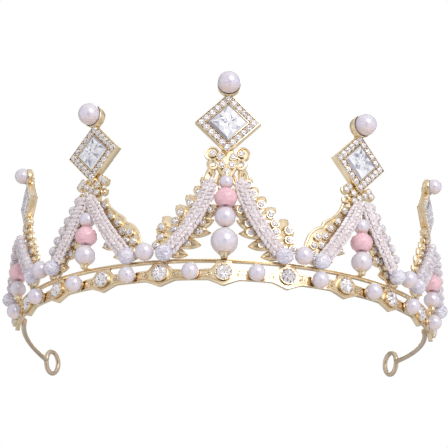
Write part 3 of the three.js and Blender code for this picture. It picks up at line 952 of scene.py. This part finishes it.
def make_finial(gold, size, arc):
    """The post and cup above the square plate; returns how far out its pearl sits."""
    put = flat(arc)
    radius, height = size["finial_radius"], size["finial"]
    foot = size["plate"] + plate_corner(size) - 2.4
    post = [(0, foot, 0.6), (0, height - radius * 0.6, 0.7), (0, height, 0.8)]
    gold.add(tube(smooth_path(post, 4), 1.35, 12), put)
    cup = radius * 1.03
    profile = [
        (0, -0.2), (cup * 0.72, -0.2), (cup * 0.93, 0.3), (cup, 1.2), (cup, radius * 0.78),
        (cup - 0.12, radius * 0.78 + 0.15), (cup - 0.35, radius * 0.78), (cup * 0.8, 1.6), (0, 1.0),
    ]
    gold.add(moved(lathe(profile, 32), 0, height, 0.5), put)
    if size.get("ribbed_cup"):
        rib = hollow([(cup - 0.05, 0), (cup + 0.14, 0.12), (cup - 0.05, 0.24)], 32)
        for k in range(3):
            gold.add(moved(rib, 0, height, 1.1 + 0.6 * k), put)
    return 0.9 + radius + 0.5


def faceted_ball(radius, steps, rows, squat):
    """A bead cut in staggered rows of facets."""
    rings = []
    for r in range(1, rows):
        polar = math.pi * r / rows
        turn = math.pi * (r % 2) / steps
        rings.append(circle(0, 0, -radius * squat * math.cos(polar), radius * math.sin(polar), steps, turn))
    return pointed(rings, -radius * squat, radius * squat)


def turned(part, roll, tilt=0.0):
    """The part's own z axis laid into the x-y plane at angle roll, and spun by tilt about itself."""
    cosine, sine = math.cos(roll), math.sin(roll)
    points = []
    for x, y, z in part[0]:
        x, y = x * math.cos(tilt) - y * math.sin(tilt), x * math.sin(tilt) + y * math.cos(tilt)
        points.append((z * cosine - x * sine, z * sine + x * cosine, y))
    return points, part[1]


def slim_bicone(half, radius):
    """A six-sided bead, pointed at both ends."""
    blunt = (radius * 0.3, half * 0.9)
    return lathe([(0, -half), (blunt[0], -half * 0.9), (radius, 0), blunt, (0, half)], 6)


# Strands: how far across the beads' columns lie, and the pitch along each column.
WOVEN_COLUMNS, WOVEN_PITCH = (-1.9, -0.64, 0.64, 1.9), 1.62
ROUND_COLUMNS, ROUND_PITCH, ROUND_RADIUS = (-1.45, 1.45), 3.25, 1.85
STRAND_OUT, END_BEAD_OUT, END_BEAD_RADIUS = 3.55, 4.0, 3.05
THREAD_OUT, THREAD_STEP, THREAD_RADIUS = 3.2, 0.9, 0.22


def make_strand(name, node_name, top, foot, arc, size):
    """Columns of beads over a wing, down to a larger faceted bead in the valley."""
    put = bent(arc)
    beads, ends = Shape(), Shape()
    length = math.hypot(foot[0] - top[0], foot[1] - top[1])
    ux, uy = (foot[0] - top[0]) / length, (foot[1] - top[1]) / length
    roll = math.atan2(uy, ux)
    inward = 1 if ux > 0 else -1
    bow = size["bow"]
    large = size.get("round_beads")
    pitch = ROUND_PITCH if large else WOVEN_PITCH
    columns = ROUND_COLUMNS if large else WOVEN_COLUMNS
    for column, across in enumerate(columns):
        if large:
            s = 0.6 + 0.5 * pitch * column
        else:
            s = (0.2 if column in (1, 2) else 1.0) + 0.4 * (column % 2)
        while s < length - 2.2:
            swing = bow * math.sin(math.pi * s / length) ** 0.8 * inward
            gather = min(1.0, 0.72 + 0.28 * s / 4)
            side = across * gather + draw.uniform(-0.1, 0.1) - swing
            x, y = top[0] + ux * s - uy * side, top[1] + uy * s + ux * side
            z = STRAND_OUT + (0.55 if column in (1, 2) else 0.0) + draw.uniform(-0.15, 0.15)
            turn = roll + (0.5 if column % 2 else -0.5) + draw.uniform(-0.12, 0.12)
            if large:
                bead = faceted_ball(ROUND_RADIUS + draw.uniform(-0.08, 0.05), 10, 7, 0.92)
            else:
                bead = slim_bicone(1.22, 0.86)
            beads.add(moved(turned(bead, turn, draw.uniform(0, 1.5)), x, y, z), put)
            s += pitch + draw.uniform(-0.08, 0.08)
    for across in (-THREAD_STEP, THREAD_STEP):
        # the thread that holds the beads, just behind them
        line = []
        for t in [i / 8 for i in range(9)]:
            side = across - bow * math.sin(math.pi * t) * inward
            x, y = top[0] + ux * t * length - uy * side, top[1] + uy * t * length + ux * side
            line.append((x, y, THREAD_OUT))
        beads.add(tube(smooth_path(line, 2), THREAD_RADIUS, 6), put)
    knob = turned(faceted_ball(END_BEAD_RADIUS, 14, 9, 0.95), roll, draw.uniform(0, 1))
    ends.add(moved(knob, foot[0], foot[1], END_BEAD_OUT), put)
    cut = ROUND_PINK if large else BICONE
    beads.piece(name + "_beads", cut, "crown", "bicone_bead", [node_name], smooth=0)
    ends.piece(name + "_end_bead", LILAC, "crown", "bicone_bead", smooth=0)


NEIGHBOUR_STEP = 6.7  # from a valley pearl to the end beads at its sides
END_BEAD = (116.3, 8.8)  # arc and height of the last bead at each end of the band


def strand_foot(place, arc, side):
    """Where a spike's strand ends, along the band from the spike, and its height."""
    outward = place == 0 or (place > 0) == (side > 0)
    if abs(place) == 2 and outward:
        return (side * END_BEAD[0] - arc, END_BEAD[1])
    _, valley_arc, height = VALLEYS[abs(place) - (0 if outward else 1)]
    reach = valley_arc + (-NEIGHBOUR_STEP if outward else NEIGHBOUR_STEP)
    sign = side if place == 0 else (1 if place > 0 else -1)
    return (sign * reach - arc, height - 0.9)


def threaded_pearl(kind, spike, height, arc, radius, rows, steps, body=None):
    """A drilled pearl on a spike's upright wire; it rides on its own body unless another is named."""
    node_name = f"{kind}_{spike}"
    start = math.asin(BEAD_HOLE / radius)
    angles = [start + (math.pi - 2 * start) * i / rows for i in range(rows + 1)]
    profile = [(radius * math.sin(a), -radius * math.cos(a)) for a in angles]
    make_pearl(node_name, hollow(profile, steps, "y"), arc, height, STACK_OUT, body or node_name)


def rondelle():
    """A faceted rondelle with its hole upright: staggered rows of facets."""
    half = [(BEAD_HOLE, RONDELLE_HALF), (2.3, RONDELLE_HALF), (3.55, 1.9), (4.1, 0.55)]
    rings = []
    for r, (radius, height) in enumerate([(radius, -height) for radius, height in half] + half[::-1]):
        ring = circle(0, 0, height, radius, RONDELLE_SIDES, math.pi * (r % 2) / RONDELLE_SIDES)
        rings.append([(x, z, -y) for x, y, z in ring])
    return facets(rings, closed=True)


def make_stack(gold, name, size, arc):
    """The cup on the rail, the upright wire, and the beads threaded on it."""
    put = flat(arc)
    cup = size["cup"]
    dish = [
        (0.0, FRAME_FOOT - 0.5), (1.2, FRAME_FOOT - 0.5), (1.35, FRAME_FOOT + 0.1),
        (cup * 0.36, FRAME_FOOT + 0.55), (cup * 0.46, FRAME_FOOT + 0.95),
        (cup * 0.42, FRAME_FOOT + 1.1), (cup * 0.3, FRAME_FOOT + 0.75), (0.0, FRAME_FOOT + 0.6),
    ]
    gold.add(moved(lathe(dish, 28, "y"), 0, 0, STACK_OUT), put)
    gold.add(moved(lathe([(0, 4.7), (1.1, 4.7), (1.3, 5.1), (0.9, 5.4), (0, 5.4)], 20, "y"), 0, 0, 1.2), put)
    height = FRAME_FOOT + 0.4 + GAP + cup
    threaded_pearl("cup_pearl", name, height, arc, cup, 22, 48, body="crown")
    height += cup
    if size["stack"]:
        height += GAP + size["stack"]
        threaded_pearl("stack_pearl", name, height, arc, size["stack"], 20, 44)
        height += size["stack"]
    height += GAP + RONDELLE_HALF
    pink_name = f"pink_bead_{name}"
    pink = Shape()
    pink.add(moved(rondelle(), 0, height, STACK_OUT), put)
    pink.piece(f"{pink_name}_cut", PINK, pink_name, "pink_bead", [pink_name], smooth=0)
    height += RONDELLE_HALF
    if size["top"]:
        height += GAP + size["top"]
        threaded_pearl("top_pearl", name, height, arc, size["top"], 16, 36)
        height += size["top"]
    wire = [
        (0, FRAME_FOOT, STACK_OUT), (0, height - 1, STACK_OUT), (0, height + 0.5, STACK_OUT),
        (0, height + 1.1, STACK_OUT - 0.5), (0, height + 1.2, 0.2),
    ]
    gold.add(tube(smooth_path(wire, 4), STACK_WIRE_RADIUS, 8), put)


for name, place, arc, lift, base_size in SPIKES:
    size = {**base_size, "plate": base_size["plate"] + lift, "finial": base_size["finial"] + lift}
    gold, stones = Shape(), Shape()
    for side in (-1, 1):
        make_wing(gold, stones, size, arc, side, rimmed=place * side < 0 and abs(place) == 1)
    make_neck(gold, stones, size, arc, place)
    make_bezel(gold, stones, size, arc)
    if abs(place) == 1:
        edge_beads(f"edge_beads_{name}", arc, place, size["edge_beads"])
    out = make_finial(gold, size, arc)
    make_stack(gold, name, size, arc)
    gold.piece(f"spike_casting_{name}", GOLD, "crown", "gold_casting", [f"spike_frame_{name}"])
    stones.piece(f"spike_stones_{name}", STONE, "crown", "crystal", smooth=0)
    gem = Shape()
    gem.add(moved(princess(size["crystal"]), 0, size["plate"], 0), flat(arc))
    gem_name = f"square_crystal_{name}"
    gem.piece(f"{gem_name}_cut", PRINCESS, "crown", "crystal", [gem_name], smooth=0)
    finial = ball(size["finial_radius"], 48, 28)
    make_pearl(f"finial_pearl_{name}", finial, arc, size["finial"], out)
    for label, side in (("left", -1), ("right", 1)):
        top_x, top_y = size["strand_top"]
        foot = strand_foot(place, arc, side)
        strand_name = f"strand_{name}_{label}"
        make_strand(strand_name, "bead_" + strand_name, (side * top_x, top_y), foot, arc, size)

# --- wire arms
ARM_WIRE_RADIUS = 1.0
ARM_TIP_SHARE = 0.85  # the wire's end is a little thinner
ARM_START, ARM_LEAVES, ARM_INSIDE, ARM_HEIGHT = 111.0, 119.0, 80.75, -0.6
LOOP_ARC, LOOP_RADIUS, LOOP_TURN = 167.4, 4.7, math.radians(354)
LOOP_STEPS = 16
# name, side, ring radius at the loop, and the loop's height; the hand bending differs from side to side
ARMS = [("left", -1, 82.4, -3.6), ("right", 1, 79.6, -0.4)]


def arm_point(arc, radius, height, side):
    angle = arc / RING_RADIUS
    return (side * radius * math.sin(angle), RING_Y - radius * math.cos(angle), LINE_Z + height)


for label, side, loop_ring, loop_height in ARMS:
    route = [(ARM_START, ARM_INSIDE, ARM_HEIGHT), (ARM_LEAVES, ARM_INSIDE, ARM_HEIGHT)]
    for share in (0.2, 0.4, 0.58, 0.75, 0.88, 0.96):
        arc = ARM_LEAVES + share * (LOOP_ARC - LOOP_RADIUS - ARM_LEAVES)
        radius = ARM_INSIDE + share * (loop_ring - ARM_INSIDE)
        route.append((arc, radius, ARM_HEIGHT + share * share * (loop_height - ARM_HEIGHT)))
    for i in range(LOOP_STEPS + 1):
        angle = math.pi - i / LOOP_STEPS * LOOP_TURN
        arc, height = LOOP_ARC + LOOP_RADIUS * math.cos(angle), loop_height + LOOP_RADIUS * math.sin(angle)
        route.append((arc, loop_ring, height))
    path = smooth_path([arm_point(a, r, h, side) for a, r, h in route], 6)
    arm = Shape()
    radii = [ARM_WIRE_RADIUS] * (len(path) - 1) + [ARM_WIRE_RADIUS * ARM_TIP_SHARE]
    arm.add(tube(path, radii, 14), lambda x, y, z: (x * MM, y * MM, z * MM))
    arm.piece(f"wire_arm_{label}_plated", ARM, "crown", "steel_wire", [f"wire_arm_{label}"])

# --- floor, light, camera
FLOOR_DROP = 0.19  # the camera looks up at the crown, so the floor lies below the camera
floor_mesh = bpy.data.meshes.new("floor")
reach = 3.0
floor_corners = [(x * reach, y * reach, -FLOOR_DROP) for x, y in ((-1, -1), (1, -1), (1, 1), (-1, 1))]
floor_mesh.from_pydata(floor_corners, [], [[0, 1, 2, 3]])
floor = new_object("floor", floor_mesh)
paper, paper_tree, paper_shader = new_material("pale_paper")
paper_tone = ramp(paper_tree, noise_of(paper_tree, 12, 2), [(0.3, 0.86), (0.7, 0.9)])
paper_tree.links.new(paper_tone, paper_shader.inputs["Base Color"])
preset(paper_shader, Roughness=0.9)
floor_mesh.materials.append(paper)
floor.visible_glossy = False  # the pieces mirror the studio, not the paper

world = bpy.data.worlds.new("studio")
bpy.context.scene.world = world
world.use_nodes = True
sky = world.node_tree
sky.nodes.clear()
sky_out = sky.nodes.new("ShaderNodeOutputWorld")
coords = sky.nodes.new("ShaderNodeTexCoord")
split = sky.nodes.new("ShaderNodeSeparateXYZ")
sky.links.new(coords.outputs["Generated"], split.inputs[0])
rise = scaled(sky, split.outputs["Z"], start=-1)
# share of the way from the nadir to the zenith, and how bright the studio is there
dome = ramp(sky, rise, [(0.0, 0.78), (0.4, 0.92), (0.56, 0.98), (0.74, 0.62), (0.92, 1.0)])
patches = node(sky, "TexNoise", Scale=2.6, Detail=1.0)
sky.links.new(coords.outputs["Generated"], patches.inputs["Vector"])
flags = ramp(sky, patches.outputs[0], [(0.38, 0.5), (0.5, 1.0)])
# a dark lens-sized spot straight in front of the crown's lower side, which pearls and facets mirror
facing = node(sky, "VectorMath", operation="DOT_PRODUCT")
facing.inputs[1].default_value = (0.0, -0.937, -0.349)
sky.links.new(coords.outputs["Generated"], facing.inputs[0])
spot = ramp(sky, facing.outputs["Value"], [(0.92, 1.0), (0.97, 0.05)])
# the side behind the crown is dimmer, so that round edges are drawn in grey
behind = ramp(sky, scaled(sky, split.outputs["Y"], start=-1), [(0.54, 1.0), (0.8, 0.7)])
studio = mix(sky, 1.0, mix(sky, 1.0, dome, flags, "MULTIPLY"), spot, "MULTIPLY")
studio = mix(sky, 1.0, studio, behind, "MULTIPLY")
paths = sky.nodes.new("ShaderNodeLightPath")
seen = mix(sky, paths.outputs["Is Camera Ray"], studio, (1.0, 1.0, 1.0))
background = node(sky, "Background", Strength=1.0)
sky.links.new(seen, background.inputs[0])
sky.links.new(background.outputs[0], sky_out.inputs[0])


def area_light(name, place, target, size, power):
    data = bpy.data.lights.new(name, "AREA")
    data.shape = "DISK"
    data.size = size
    data.energy = power
    light = new_object(name, data)
    light.location = place
    light.rotation_mode = "QUATERNION"
    light.rotation_quaternion = (Vector(target) - Vector(place)).to_track_quat("-Z", "Y")


area_light("key", (0.42, -0.93, 0.44), (0, 0, 0.04), 0.78, 5.0)
area_light("back", (0.1, 0.8, 0.5), (0, 0, 0.04), 0.5, 2.0)

AZIMUTH, ELEVATION, ROLL = math.radians(0.70), math.radians(-20.43), math.radians(1.72)
DISTANCE = 503.39 * MM
TARGET = Vector((-0.92 * MM, (RING_Y - 40.0) * MM, (LINE_Z + 34.15) * MM))
level = math.cos(ELEVATION)
back = Vector((math.sin(AZIMUTH) * level, -math.cos(AZIMUTH) * level, math.sin(ELEVATION)))
right = Vector((math.cos(AZIMUTH), math.sin(AZIMUTH), 0))
up = back.cross(right)
tilted_right = right * math.cos(ROLL) + up * math.sin(ROLL)
tilted_up = up * math.cos(ROLL) - right * math.sin(ROLL)
camera_data = bpy.data.cameras.new("camera")
camera_data.lens = 104.46  # mm, on a sensor 36 mm wide
camera_data.sensor_width = 36
camera_data.clip_start = 0.01
camera_data.clip_end = 20
camera = new_object("camera", camera_data)
camera.rotation_mode = "QUATERNION"
camera.location = TARGET + back * DISTANCE
camera.rotation_quaternion = Matrix((tilted_right, tilted_up, back)).transposed().to_quaternion()
bpy.context.scene.camera = camera
bpy.context.scene.view_settings.view_transform = "Standard"
